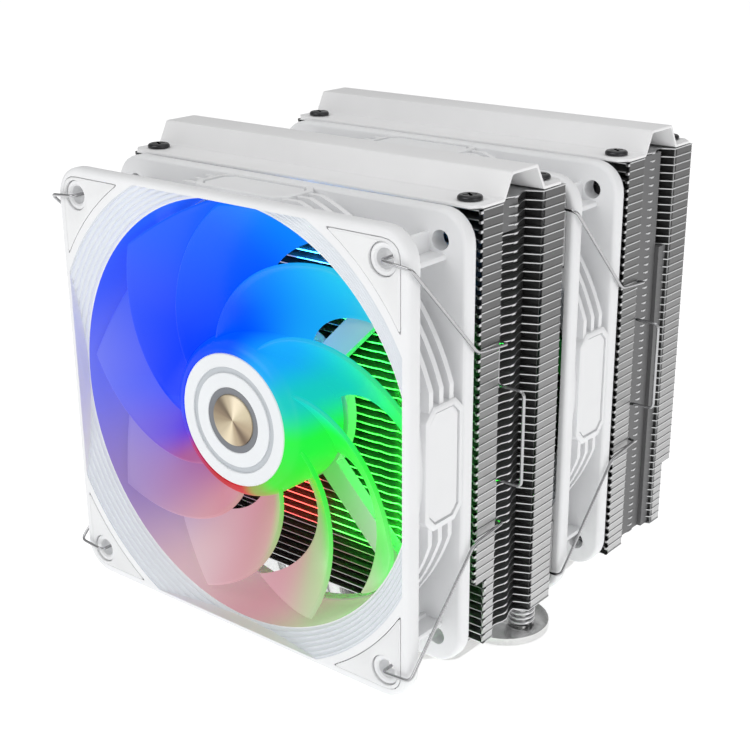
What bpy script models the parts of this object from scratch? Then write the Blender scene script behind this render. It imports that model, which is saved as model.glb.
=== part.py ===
"""Dual-tower processor cooler with two 120 mm fans.

Metres, +Z up. The origin is the centre of the cold plate's contact face. -Y is the front,
where the first fan draws air in. Each fan is modelled in its own axes: X to the right, Y up
and Z towards the front, with its mounting pads' front faces at Z = 0.
"""

import math

import bmesh
import bpy
from mathutils import Vector

CLEARANCE = 0.0003               # gap left between pieces that touch
MERGE = 0.00001                  # distance within which doubled points are joined

# Base: cold plate, clamp, bracket and their screws
BASE_HALF = (0.027, 0.017)
CONTACT_FACE = 0.0
PIPE_AXIS_HEIGHT = 0.0045
CLAMP_TOP = 0.0092
BRACKET_THICKNESS = 0.0025
BRACKET_BOTTOM = CLAMP_TOP + CLEARANCE
BRACKET_TOP = BRACKET_BOTTOM + BRACKET_THICKNESS
BRACKET_HALF_LENGTH = 0.048
BRACKET_HALF_WIDTH = 0.0135
BRACKET_SCREW_PLACE = (0.024, 0.008)
BRACKET_SCREW_TIP = 0.0022
SPRING_SCREW_X = 0.0406
SPRING_SCREW_RADIUS = 0.0021
SPRING_SCREW_TIP = 0.0052
SPRING_LENGTH = 0.0077
SPRING_RADIUS = 0.0035
SPRING_TURNS = 4
SPRING_WIRE = 0.0004

# Heat pipes
PIPE_RADIUS = 0.003
PIPE_PITCH = 0.007
PIPE_COUNT = 6
PIPE_FLAT_HALF = 0.0172         # half of each pipe's straight run through the base
PIPE_TOP = 0.1503
PIPE_TOWER_X = (0.0085, 0.0255, 0.0425)
PIPE_STAGGER = 0.0045            # neighbouring pipes alternate this far about the tower's middle

# Fin towers and their covers
TOWER_CENTRE = 0.0342            # each tower's middle lies this far before or behind the origin
TOWER_HALF_DEPTH = 0.0185
TOWER_HALF_WIDTH = 0.0595
TOWER_BOTTOM = 0.0343
TOWER_TOP = 0.1513
FIN_COUNT = 12
FIN_THICKNESS = 0.0016
SIDE_WALL = 0.0008               # the folded tabs that close the fins' sides
STEP_TOP = 0.0545                # below this the outer edge is set back
STEP_DEPTH = 0.0047
COVER_SHEET = 0.0008
COVER_RISE = 0.0060
COVER_SCREW_PLACE = (0.0536, 0.0148)

# Fans, in their own axes
FAN_FRONTS = {"front": -0.0805, "middle": -0.0120}
FAN_CENTRE_HEIGHT = 0.092
FAN_HALF = 0.060
FAN_CORNER_RADIUS = 0.008
HOLE_PLACE = 0.0525
HOLE_RADIUS = 0.0025
PAD_THICKNESS = 0.0007
FLANGE_FRONT = -0.0010
FLANGE_FRONT_END = -0.0048
FLANGE_REAR_START = -0.0215
FLANGE_REAR_END = -0.0260
DUCT_RADIUS = 0.058
DUCT_WALL = 0.0016
MOUTH_RADIUS = 0.0653
MOUTH_HALF = (0.0578, 0.0585)
MOTOR_PLATE_FRONT = -0.0226
MOTOR_PLATE_RADIUS = 0.0225
HUB_RADIUS = 0.0223
HUB_BACK = -0.0215
BLADE_COUNT = 9
BLADE_ROOT = 0.0212
BLADE_TIP = 0.056
BLADE_FRONT = -0.0055
BLADE_BACK = -0.0208
BLADE_THICKNESS = 0.0012

# Wire clips, measured from the fan's axes
WIRE_RADIUS = 0.0006
CLIP_SIDE_X = 0.0609
CLIP_NOTCH_X = 0.0587
CLIP_DEPTH = -0.0384
CLIP_HANDLE_X = 0.066

COLOURS = {
    "white_plastic": ((0.90, 0.90, 0.91), 0.40, 0.0),
    "white_paint": ((0.92, 0.92, 0.92), 0.45, 0.0),
    "soft_white": ((0.86, 0.86, 0.87), 0.70, 0.0),
    "blade": ((0.80, 0.88, 0.95), 0.25, 0.0),
    "gold": ((0.72, 0.58, 0.38), 0.30, 1.0),
    "aluminium": ((0.72, 0.73, 0.74), 0.35, 1.0),
    "nickel": ((0.78, 0.76, 0.72), 0.20, 1.0),
    "steel": ((0.62, 0.62, 0.63), 0.25, 1.0),
    "black_steel": ((0.03, 0.03, 0.03), 0.35, 1.0),
    "bronze": ((0.60, 0.42, 0.22), 0.35, 1.0),
}


def clear_scene():
    """Remove whatever the file held before."""
    for item in list(bpy.data.objects):
        bpy.data.objects.remove(item)


def collection(name):
    """A collection in the scene, made once."""
    if name not in bpy.data.collections:
        bpy.context.scene.collection.children.link(bpy.data.collections.new(name))
    return bpy.data.collections[name]


def material(name, colour):
    """A Principled material of the piece's own, in one of the named colours."""
    base, roughness, metallic = COLOURS[colour]
    surface = bpy.data.materials.new(name)
    surface.use_nodes = True
    shader = surface.node_tree.nodes["Principled BSDF"]
    shader.inputs["Base Color"].default_value = (*base, 1.0)
    shader.inputs["Roughness"].default_value = roughness
    shader.inputs["Metallic"].default_value = metallic
    return surface


def place(name, data, colour=None, parent=None, location=(0, 0, 0), turn=0.0):
    """Put a mesh or curve in the scene: a part if it has a colour, otherwise a cutter."""
    item = bpy.data.objects.new(name, data)
    if colour:
        collection("tower_cooler").objects.link(item)
        item.data.materials.clear()
        item.data.materials.append(material(name, colour))
    else:
        collection("cutters").objects.link(item)
        item.hide_render = True
        item.display_type = "WIRE"
    item.parent = parent
    item.location = location
    item.rotation_euler = (0.0, 0.0, turn)
    return item


def combine(target, other, operation="DIFFERENCE"):
    """Cut, join or trim a piece with another by an exact Boolean."""
    modifier = target.modifiers.new(other.name, "BOOLEAN")
    modifier.operation = operation
    modifier.solver = "EXACT"
    modifier.object = other


def baked(item):
    """The finished mesh of a temporary object, welded, with its faces out; the object goes."""
    bpy.context.view_layer.update()
    depsgraph = bpy.context.evaluated_depsgraph_get()
    mesh = bpy.data.meshes.new_from_object(item.evaluated_get(depsgraph))
    bpy.data.objects.remove(item)
    solid = bmesh.new()
    solid.from_mesh(mesh)
    bmesh.ops.remove_doubles(solid, verts=solid.verts, dist=MERGE)
    bmesh.ops.recalc_face_normals(solid, faces=solid.faces)
    solid.to_mesh(mesh)
    solid.free()
    return mesh


def temporary(name, data):
    """An object that stands in the scene only until it is baked."""
    item = bpy.data.objects.new(name, data)
    bpy.context.scene.collection.objects.link(item)
    return item


def plate_mesh(name, loops, low, high):
    """A flat body between two heights: outlines, with any loop inside another as its hole."""
    outline = bpy.data.curves.new(name, "CURVE")
    outline.dimensions = "2D"
    outline.fill_mode = "BOTH"
    outline.extrude = (high - low) / 2
    for loop in loops:
        spline = outline.splines.new("POLY")
        spline.points.add(len(loop) - 1)
        for point, (x, y) in zip(spline.points, loop):
            point.co = (x, y, 0.0, 1.0)
        spline.use_cyclic_u = True
    mesh = baked(temporary(name, outline))
    for vertex in mesh.vertices:
        vertex.co.z += (high + low) / 2
    return mesh


def turned_mesh(name, profile, steps):
    """A body turned about Z from (radius, height) points that run down its outer side."""
    mesh = bpy.data.meshes.new(name)
    ends_on_axis = profile[0][0] == 0.0
    last = len(profile) - 1 if ends_on_axis else len(profile)
    edges = [(i, (i + 1) % len(profile)) for i in range(last)]
    mesh.from_pydata([(radius, 0.0, height) for radius, height in profile], edges, [])
    item = temporary(name, mesh)
    screw = item.modifiers.new("turn", "SCREW")
    screw.steps = screw.render_steps = steps
    screw.use_merge_vertices = True
    screw.merge_threshold = MERGE
    solid = baked(item)
    solid.shade_smooth()
    solid.set_sharp_from_angle(angle=math.radians(35))
    return solid


def box_mesh(name, low, high):
    """A box between two corners."""
    mesh = bpy.data.meshes.new(name)
    solid = bmesh.new()
    bmesh.ops.create_cube(solid, size=1.0)
    low, high = Vector(low), Vector(high)
    bmesh.ops.scale(solid, vec=high - low, verts=solid.verts)
    bmesh.ops.translate(solid, vec=(low + high) / 2, verts=solid.verts)
    solid.to_mesh(mesh)
    solid.free()
    return mesh


def wire_curve(name, points, radius, sides):
    """A round wire, pipe or spring along a list of points, with 4, 6 or 8 sides."""
    curve = bpy.data.curves.new(name, "CURVE")
    curve.dimensions = "3D"
    curve.bevel_depth = radius
    curve.bevel_resolution = (sides - 4) // 2
    curve.use_fill_caps = True
    spline = curve.splines.new("POLY")
    spline.points.add(len(points) - 1)
    for point, place_of_point in zip(spline.points, points):
        point.co = (*place_of_point, 1.0)
    return curve


def circle(radius, steps, centre=(0.0, 0.0)):
    """Points round a circle."""
    turns = [2 * math.pi * (i + 0.5) / steps for i in range(steps)]
    return [(centre[0] + radius * math.cos(a), centre[1] + radius * math.sin(a)) for a in turns]


def rectangle(half_x, half_y):
    """The four corners of a rectangle about the origin."""
    return [(half_x, half_y), (-half_x, half_y), (-half_x, -half_y), (half_x, -half_y)]


def rounded_square(half, radius, steps):
    """A square outline whose corners are arcs."""
    inner = half - radius
    outline = []
    for start, (x, y) in zip((0, 90, 180, 270), rectangle(inner, inner)):
        for i in range(steps + 1):
            angle = math.radians(start + 90 * i / steps)
            outline.append((x + radius * math.cos(angle), y + radius * math.sin(angle)))
    return outline


def rounded_path(corners, radius, steps):
    """A path through corner points, each inner corner taken by a few points of an arc."""
    path = [corners[0]]
    for before, corner, after in zip(corners, corners[1:], corners[2:]):
        corner = Vector(corner)
        arm = (Vector(before) - corner)
        leg = (Vector(after) - corner)
        reach = min(radius, arm.length / 2.2, leg.length / 2.2)
        start = corner + arm.normalized() * reach
        end = corner + leg.normalized() * reach
        for i in range(steps + 1):
            share = i / steps
            path.append(start * (1 - share) ** 2 + corner * 2 * share * (1 - share) + end * share ** 2)
    path.append(corners[-1])
    return path


# ---------------------------------------------------------------- base

def bracket_screw_places():
    """The four screws that hold the crossbar, clamp and cold plate together."""
    x, y = BRACKET_SCREW_PLACE
    return {"front_left": (-x, -y), "front_right": (x, -y), "rear_left": (-x, y), "rear_right": (x, y)}


def pipe_base_x(index):
    """Where a pipe lies across the base."""
    return (index - (PIPE_COUNT - 1) / 2) * PIPE_PITCH


def groove_mesh():
    """Six parallel round bars that cut the pipes' grooves."""
    bars = [circle(PIPE_RADIUS + CLEARANCE, 12, (pipe_base_x(i), 0.0)) for i in range(PIPE_COUNT)]
    return plate_mesh("groove_cutter", bars, -0.03, 0.03)


def capsule(half_length, half_width, steps=8):
    """A bar outline with half-round ends."""
    outline = []
    for side, start in ((1, 90), (-1, 270)):
        for i in range(steps + 1):
            angle = math.radians(start - 180 * i / steps)
            outline.append(((half_length - half_width) * side + half_width * math.cos(angle),
                            half_width * math.sin(angle)))
    return outline


def make_base():
    """Cold plate, pipe clamp and crossbar, with their grooves and screw holes."""
    x, y = BASE_HALF
    seam = CLEARANCE / 2
    plate = box_mesh("cold_plate", (-x, -y, CONTACT_FACE), (x, y, PIPE_AXIS_HEIGHT - seam))
    cold_plate = place("cold_plate", plate, "nickel")
    block = box_mesh("pipe_clamp", (-x, -y, PIPE_AXIS_HEIGHT + seam), (x, y, CLAMP_TOP))
    clamp = place("pipe_clamp", block, "nickel")
    groove = place("groove_cutter", groove_mesh(), location=(0.0, 0.0, PIPE_AXIS_HEIGHT))
    groove.rotation_euler = (math.pi / 2, 0.0, 0.0)
    small_holes = [circle(0.0016, 8, spot) for spot in bracket_screw_places().values()]
    drill_mesh = plate_mesh("bracket_screw_drill", small_holes, BRACKET_SCREW_TIP - CLEARANCE, 0.02)
    drill = place("bracket_screw_drill", drill_mesh)
    for block in (cold_plate, clamp):
        combine(block, groove)
        combine(block, drill)
    large_holes = [circle(0.0025, 12, (SPRING_SCREW_X * side, 0.0)) for side in (1, -1)]
    outline = capsule(BRACKET_HALF_LENGTH, BRACKET_HALF_WIDTH)
    loops = [outline] + small_holes + large_holes
    place("mounting_bracket", plate_mesh("bracket", loops, BRACKET_BOTTOM, BRACKET_TOP), "nickel")
    head = BRACKET_TOP + CLEARANCE
    profile = [(0.0, head + 0.0013), (0.0017, head + 0.0013), (0.0025, head + 0.0006), (0.0025, head),
               (0.00125, head), (0.00125, BRACKET_SCREW_TIP), (0.0, BRACKET_SCREW_TIP)]
    for name, (x, y) in bracket_screw_places().items():
        screw = turned_mesh("bracket_screw", profile, 8)
        place(f"bracket_screw_{name}", screw, "black_steel", location=(x, y, 0.0))


def spring_points(bottom, turns, length, radius):
    """A coil spring's centre line."""
    steps = turns * 8
    points = []
    for i in range(steps + 1):
        angle = 2 * math.pi * i / 8
        points.append((radius * math.cos(angle), radius * math.sin(angle), bottom + length * i / steps))
    return points


def make_spring_screws():
    """At each end of the crossbar, a screw held up by its coil spring under a loose washer."""
    coil_bottom = BRACKET_TOP + CLEARANCE + SPRING_WIRE
    coil_run = SPRING_LENGTH - 2 * SPRING_WIRE
    washer_bottom = BRACKET_TOP + SPRING_LENGTH + 2 * CLEARANCE
    washer_top = washer_bottom + 0.0008
    head = washer_top + CLEARANCE
    washer_profile = [(0.0024, washer_top), (0.0044, washer_top), (0.0044, washer_bottom),
                      (0.0024, washer_bottom)]
    screw_profile = [(0.0, head + 0.0052), (0.0030, head + 0.0052), (0.0037, head + 0.0046),
                     (0.0037, head + 0.0024), (0.0031, head + 0.0021), (0.0031, head + 0.0016),
                     (0.0043, head + 0.0012), (0.0043, head), (SPRING_SCREW_RADIUS, head),
                     (SPRING_SCREW_RADIUS, SPRING_SCREW_TIP + 0.0008),
                     (0.0013, SPRING_SCREW_TIP), (0.0, SPRING_SCREW_TIP)]
    for side, sign in (("left", -1), ("right", 1)):
        spot = (SPRING_SCREW_X * sign, 0.0, 0.0)
        washer = turned_mesh("spring_washer", washer_profile, 12)
        place(f"spring_washer_{side}", washer, "steel", location=spot)
        screw = turned_mesh("spring_screw", screw_profile, 12)
        place(f"spring_screw_{side}", screw, "nickel", location=spot)
        points = spring_points(coil_bottom, SPRING_TURNS, coil_run, SPRING_RADIUS)
        coil = wire_curve("spring", points, SPRING_WIRE, 6)
        place(f"spring_{side}", coil, "steel", location=spot)


# ---------------------------------------------------------------- heat pipes

def pipe_tower_place(index):
    """Where a pipe stands in the towers: its X, and its distance from the tower's middle."""
    rank = abs(index - (PIPE_COUNT - 1) / 2) - 0.5
    sign = 1 if index >= PIPE_COUNT / 2 else -1
    stagger = PIPE_STAGGER if int(rank) % 2 == 0 else -PIPE_STAGGER
    return PIPE_TOWER_X[int(rank)] * sign, stagger


def pipe_leg(index, steps=7):
    """A pipe's rear half: along the base, round the bend and up into its tower."""
    x, stagger = pipe_tower_place(index)
    start = Vector((pipe_base_x(index), PIPE_FLAT_HALF, PIPE_AXIS_HEIGHT))
    end = Vector((x, TOWER_CENTRE - stagger, TOWER_BOTTOM - 0.001))
    first = start + Vector((0.0, 0.62 * (end.y - start.y) + 0.003, 0.0))
    second = end - Vector((0.0, 0.0, 0.016))
    points = []
    for i in range(steps + 1):
        t = i / steps
        points.append(start * (1 - t) ** 3 + first * 3 * t * (1 - t) ** 2
                      + second * 3 * t ** 2 * (1 - t) + end * t ** 3)
    points.append(Vector((end.x, end.y, PIPE_TOP)))
    return points


def make_heat_pipes():
    """Six U-shaped pipes, each with a leg in either tower."""
    for index in range(PIPE_COUNT):
        rear = pipe_leg(index)
        front = [Vector((point.x, -point.y, point.z)) for point in reversed(rear)]
        pipe = wire_curve("heatpipe", front + rear, PIPE_RADIUS, 8)
        place(f"heatpipe_{index + 1}", pipe, "nickel")


# ---------------------------------------------------------------- towers

def fin_outline():
    """A fin seen from above, with the clips' notch in either side."""
    side = [(TOWER_HALF_WIDTH, -0.0185), (TOWER_HALF_WIDTH, -0.0093), (0.0576, -0.0093),
            (0.0564, -0.0045), (0.0572, -0.0005), (0.0556, 0.0050), (TOWER_HALF_WIDTH, 0.0080),
            (TOWER_HALF_WIDTH, 0.0185)]
    return side + [(-x, y) for x, y in reversed(side)]


def make_tower(name, front):
    """One stack of fins on their side walls, and the sheet cover on top of it."""
    outward = -1 if front else 1
    centre = (0.0, TOWER_CENTRE * outward, 0.0)
    pipe_hole = (PIPE_RADIUS + CLEARANCE) / math.cos(math.pi / 6)
    holes = []
    for index in range(PIPE_COUNT):
        x, stagger = pipe_tower_place(index)
        holes.append(circle(pipe_hole, 6, (x, -stagger * outward)))
    block = plate_mesh("fin_stack", [fin_outline()] + holes, TOWER_BOTTOM, TOWER_TOP)
    stack = place(f"fin_stack_{name}", block, "aluminium", location=centre)

    pitch = (TOWER_TOP - TOWER_BOTTOM - FIN_THICKNESS) / (FIN_COUNT - 1)
    inside = TOWER_HALF_WIDTH - SIDE_WALL
    low = TOWER_BOTTOM + FIN_THICKNESS
    slot = box_mesh("air_slot", (-inside, -0.03, low), (inside, 0.03, low + pitch - FIN_THICKNESS))
    slots = place(f"air_slots_{name}", slot, location=centre)
    repeat = slots.modifiers.new("repeat", "ARRAY")
    repeat.count = FIN_COUNT - 1
    repeat.use_relative_offset = False
    repeat.use_constant_offset = True
    repeat.constant_offset_displace = (0.0, 0.0, pitch)
    combine(stack, slots)

    near, far = sorted((0.03 * outward, (TOWER_HALF_DEPTH - STEP_DEPTH) * outward))
    step = box_mesh("lower_step", (-0.07, near, 0.02), (0.07, far, STEP_TOP))
    combine(stack, place(f"lower_step_{name}", step, location=centre))
    spots = [(x * COVER_SCREW_PLACE[0], y * COVER_SCREW_PLACE[1]) for x in (1, -1) for y in (1, -1)]
    drill = plate_mesh("cover_screw_drill", [circle(0.0018, 8, spot) for spot in spots],
                       TOWER_TOP - FIN_THICKNESS - 0.001, TOWER_TOP + 0.003)
    drills = place(f"cover_screw_drill_{name}", drill, location=centre)
    combine(stack, drills)

    cover = place(f"cover_{name}", cover_mesh(), "white_paint", location=centre)
    combine(cover, drills)
    make_cover_screws(name, centre, spots)


def cover_mesh():
    """A hat-shaped channel: a folded strip swept across the tower and thickened."""
    low = TOWER_TOP + CLEARANCE
    high = low + COVER_RISE
    profile = [(-0.0187, low), (-0.0088, low), (-0.0056, high), (0.0047, high), (0.0082, low),
               (0.0187, low)]
    mesh = bpy.data.meshes.new("cover")
    sheet = bmesh.new()
    row = [sheet.verts.new((-TOWER_HALF_WIDTH, y, z)) for y, z in profile]
    edges = [sheet.edges.new(pair) for pair in zip(row, row[1:])]
    swept = bmesh.ops.extrude_edge_only(sheet, edges=edges)
    moved = [item for item in swept["geom"] if isinstance(item, bmesh.types.BMVert)]
    bmesh.ops.translate(sheet, verts=moved, vec=(2 * TOWER_HALF_WIDTH, 0.0, 0.0))
    bmesh.ops.recalc_face_normals(sheet, faces=sheet.faces)
    if sum(face.normal.z for face in sheet.faces) < 0:
        bmesh.ops.reverse_faces(sheet, faces=sheet.faces)
    sheet.to_mesh(mesh)
    sheet.free()
    item = temporary("cover", mesh)
    solidify = item.modifiers.new("sheet", "SOLIDIFY")
    solidify.thickness = COVER_SHEET
    solidify.offset = 1.0
    return baked(item)


def make_cover_screws(tower, centre, spots):
    """Four pan-head screws through each cover into the top fin."""
    head = TOWER_TOP + 2 * CLEARANCE + COVER_SHEET
    tip = TOWER_TOP - 0.0012
    profile = [(0.0, head + 0.0012), (0.0020, head + 0.0012), (0.0032, head + 0.0005), (0.0032, head),
               (0.0014, head), (0.0014, tip), (0.0, tip)]
    for x, y in spots:
        side = "right" if x > 0 else "left"
        edge = "back" if y > 0 else "front"
        screw = turned_mesh("cover_screw", profile, 10)
        spot = (x, centre[1] + y, 0.0)
        place(f"cover_screw_{tower}_{edge}_{side}", screw, "black_steel", location=spot)


# ---------------------------------------------------------------- fans

def make_frame(label, axis):
    """The square frame: two flanges round a duct, with the motor's plate on four struts."""
    body = plate_mesh("frame", [rounded_square(FAN_HALF, FAN_CORNER_RADIUS, 3)],
                      FLANGE_REAR_END, FLANGE_FRONT)
    frame = place(f"{label}_fan_frame", body, "white_plastic", parent=axis)
    waist = [rectangle(0.07, 0.07), circle(DUCT_RADIUS + DUCT_WALL, 36)]
    sectors = []
    for start in (45, 135, 225, 315):
        arc = [math.radians(start + 4 + 82 * i / 8) for i in range(9)]
        near = [math.radians(start + 9 + 72 * i / 4) for i in range(5)]
        rim = [(0.0572 * math.cos(a), 0.0572 * math.sin(a)) for a in arc]
        core = [(MOTOR_PLATE_RADIUS * math.cos(a), MOTOR_PLATE_RADIUS * math.sin(a)) for a in near]
        sectors.append(rim + core[::-1])
    holes = [circle(HOLE_RADIUS, 10, (x, y)) for x, y in rectangle(HOLE_PLACE, HOLE_PLACE)]
    cutters = {
        "waist": plate_mesh("waist", waist, FLANGE_REAR_START, FLANGE_FRONT_END),
        "bore": plate_mesh("bore", [circle(DUCT_RADIUS, 36)], MOTOR_PLATE_FRONT, 0.005),
        "vents": plate_mesh("vents", sectors, -0.03, MOTOR_PLATE_FRONT + 0.0005),
        "holes": plate_mesh("holes", holes, -0.03, 0.005),
    }
    for name, mesh in cutters.items():
        combine(frame, place(f"{label}_{name}_cutter", mesh, parent=axis))
    mouth_profile = [(0.0, 0.001), (MOUTH_RADIUS + 0.0012, 0.001), (DUCT_RADIUS - 0.001, FLANGE_FRONT_END),
                     (0.0, FLANGE_FRONT_END)]
    mouth = place(f"{label}_mouth_cutter", turned_mesh("mouth", mouth_profile, 36), parent=axis)
    limit = box_mesh("mouth_limit", (-MOUTH_HALF[0], -MOUTH_HALF[1], -0.01),
                     (MOUTH_HALF[0], MOUTH_HALF[1], 0.002))
    combine(mouth, place(f"{label}_mouth_limit", limit, parent=axis), "INTERSECT")
    combine(frame, mouth)
    tube = plate_mesh("tube", [circle(0.0046, 16), circle(0.0033, 16)], MOTOR_PLATE_FRONT - 0.001, -0.009)
    combine(frame, place(f"{label}_bearing_tube", tube, parent=axis), "UNION")


def make_pads(label, axis):
    """Thin corner pads on the front flange, with the duct's curve along their inner edge."""
    tip_angle = math.acos(0.0576 / 0.0677)
    spread = math.pi / 2 - 2 * tip_angle
    arc = [tip_angle + spread * i / 4 for i in range(5)]
    inner = [(0.0677 * math.cos(a), 0.0677 * math.sin(a)) for a in arc]
    outer = [(0.0521 + 0.0055 * math.cos(a), 0.0521 + 0.0055 * math.sin(a))
             for a in (math.pi / 2, math.pi / 4, 0.0)]
    outline = inner + outer
    hole = circle(HOLE_RADIUS, 8, (HOLE_PLACE, HOLE_PLACE))
    names = ("top_right", "top_left", "bottom_left", "bottom_right")
    for quarter, name in enumerate(names):
        pad = plate_mesh("pad", [outline, hole], -PAD_THICKNESS, 0.0)
        place(f"{label}_pad_{name}", pad, "soft_white", parent=axis, turn=quarter * math.pi / 2)


def blade_mesh(steps_out=4, steps_round=2):
    """Nine swept blades: thin curved sheets between a front and a back edge, thickened."""
    mesh = bpy.data.meshes.new("blades")
    sheet = bmesh.new()
    for blade in range(BLADE_COUNT):
        rows = []
        for i in range(steps_out + 1):
            radius = BLADE_ROOT + (BLADE_TIP - BLADE_ROOT) * i / steps_out
            outward = (radius - 0.023) * 1000
            front_angle = 28.0 - 1.75 * outward
            back_angle = -24.0 - 0.9 * outward
            row = []
            for j in range(steps_round + 1):
                share = j / steps_round
                angle = front_angle + (back_angle - front_angle) * share + 360 * blade / BLADE_COUNT
                depth = BLADE_FRONT + (BLADE_BACK - BLADE_FRONT) * (share + 0.12 * share * (1 - share))
                across = radius * math.cos(math.radians(angle))
                upward = radius * math.sin(math.radians(angle))
                row.append(sheet.verts.new((across, upward, depth)))
            rows.append(row)
        for lower, upper in zip(rows, rows[1:]):
            for j in range(steps_round):
                sheet.faces.new((lower[j], lower[j + 1], upper[j + 1], upper[j]))
    bmesh.ops.recalc_face_normals(sheet, faces=sheet.faces)
    sheet.to_mesh(mesh)
    sheet.free()
    item = temporary("blades", mesh)
    solidify = item.modifiers.new("thickness", "SOLIDIFY")
    solidify.thickness = BLADE_THICKNESS
    solidify.offset = 0.0
    return baked(item)


def make_rotor(label, axis):
    """What turns: the impeller, its cap and centre badge, the magnet ring and the shaft."""
    hub_profile = [(0.0, -0.0045), (0.0176, -0.0045), (0.0176, -0.0030), (0.0182, -0.0030),
                   (0.0203, -0.0042), (0.0216, -0.0062), (HUB_RADIUS, -0.0090), (HUB_RADIUS, HUB_BACK),
                   (0.0200, HUB_BACK), (0.0200, -0.0070), (0.0, -0.0070)]
    impeller = place(f"{label}_impeller", turned_mesh("hub", hub_profile, 24), "blade", parent=axis)
    combine(impeller, place(f"{label}_blades", blade_mesh(), parent=axis), "UNION")
    cap_profile = [(0.0088, -0.0030), (0.0172, -0.0030), (0.0172, -0.0042), (0.0088, -0.0042)]
    place(f"{label}_hub_cap", turned_mesh("hub_cap", cap_profile, 24), "white_plastic", parent=axis)
    badge_profile = [(0.0, -0.0030), (0.0067, -0.0028), (0.0084, -0.0033), (0.0084, -0.0042),
                     (0.0, -0.0042)]
    place(f"{label}_hub_medallion", turned_mesh("medallion", badge_profile, 16), "gold", parent=axis)
    yoke_profile = [(0.0171, -0.0073), (0.0197, -0.0073), (0.0197, -0.0210), (0.0171, -0.0210)]
    place(f"{label}_magnet_ring", turned_mesh("magnet_ring", yoke_profile, 16), "steel", parent=axis)
    shaft_profile = [(0.0, -0.0073), (0.0015, -0.0073), (0.0015, -0.0215), (0.0, -0.0215)]
    place(f"{label}_shaft", turned_mesh("shaft", shaft_profile, 16), "steel", parent=axis)


def make_motor(label, axis):
    """What stands still inside the hub: the bearing sleeve in its tube, and the stator round it."""
    sleeve_profile = [(0.0016, -0.0095), (0.0030, -0.0095), (0.0030, -0.0215), (0.0016, -0.0215)]
    place(f"{label}_bearing_sleeve", turned_mesh("sleeve", sleeve_profile, 16), "bronze", parent=axis)
    outline = []
    for pole in range(4):
        middle = 90 * pole
        for radius, turn in ((0.0160, -34), (0.0160, -12), (0.0160, 12), (0.0160, 34), (0.0135, 34),
                             (0.0130, 12), (0.0075, 24)):
            angle = math.radians(middle + turn)
            outline.append((radius * math.cos(angle), radius * math.sin(angle)))
        for radius, turn in ((0.0075, 66), (0.0130, 78), (0.0135, 56)):
            angle = math.radians(middle + turn)
            outline.append((radius * math.cos(angle), radius * math.sin(angle)))
    core = plate_mesh("stator", [outline, circle(0.0049, 12)], -0.0200, -0.0110)
    place(f"{label}_stator_core", core, "black_steel", parent=axis)


def clip_corners(side):
    """A wire clip's bends, in the fan's axes: both hooks, the run to the notch and the handle."""
    upper = [(HOLE_PLACE, HOLE_PLACE, -0.0040), (HOLE_PLACE, HOLE_PLACE, 0.0010),
             (CLIP_SIDE_X + 0.0004, 0.0518, 0.0010), (CLIP_SIDE_X, 0.0254, -0.0255),
             (CLIP_SIDE_X, 0.0242, CLIP_DEPTH), (CLIP_NOTCH_X, 0.0239, CLIP_DEPTH),
             (CLIP_NOTCH_X, 0.0128, CLIP_DEPTH), (CLIP_HANDLE_X, 0.0128, CLIP_DEPTH)]
    lower = [(x, -y, z) for x, y, z in reversed(upper)]
    return [(x * side, y, z) for x, y, z in upper + lower]


def make_clips(label, axis):
    """A spring-wire clip on either side, hooked in the front flange and snapped into the notch."""
    for name, side in (("left", -1), ("right", 1)):
        wire = wire_curve("clip", rounded_path(clip_corners(side), 0.0016, steps=1), WIRE_RADIUS, 6)
        place(f"{label}_clip_{name}", wire, "steel", parent=axis)


def make_fan(label, front):
    """One fan and its clips, on an empty at the middle of its front."""
    axis = bpy.data.objects.new(f"{label}_fan_axis", None)
    collection("tower_cooler").objects.link(axis)
    axis.location = (0.0, front, FAN_CENTRE_HEIGHT)
    axis.rotation_euler = (math.pi / 2, 0.0, 0.0)
    make_frame(label, axis)
    make_pads(label, axis)
    make_rotor(label, axis)
    make_motor(label, axis)
    make_clips(label, axis)


clear_scene()
make_base()
make_spring_screws()
make_heat_pipes()
make_tower("front", True)
make_tower("rear", False)
for fan, fan_front in FAN_FRONTS.items():
    make_fan(fan, fan_front)
bpy.context.view_layer.update()
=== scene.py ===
"""Looks for the dual-tower processor cooler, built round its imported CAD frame. Metres, +Z up."""

import math

import bmesh
import bpy
from mathutils import Matrix, Vector


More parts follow.
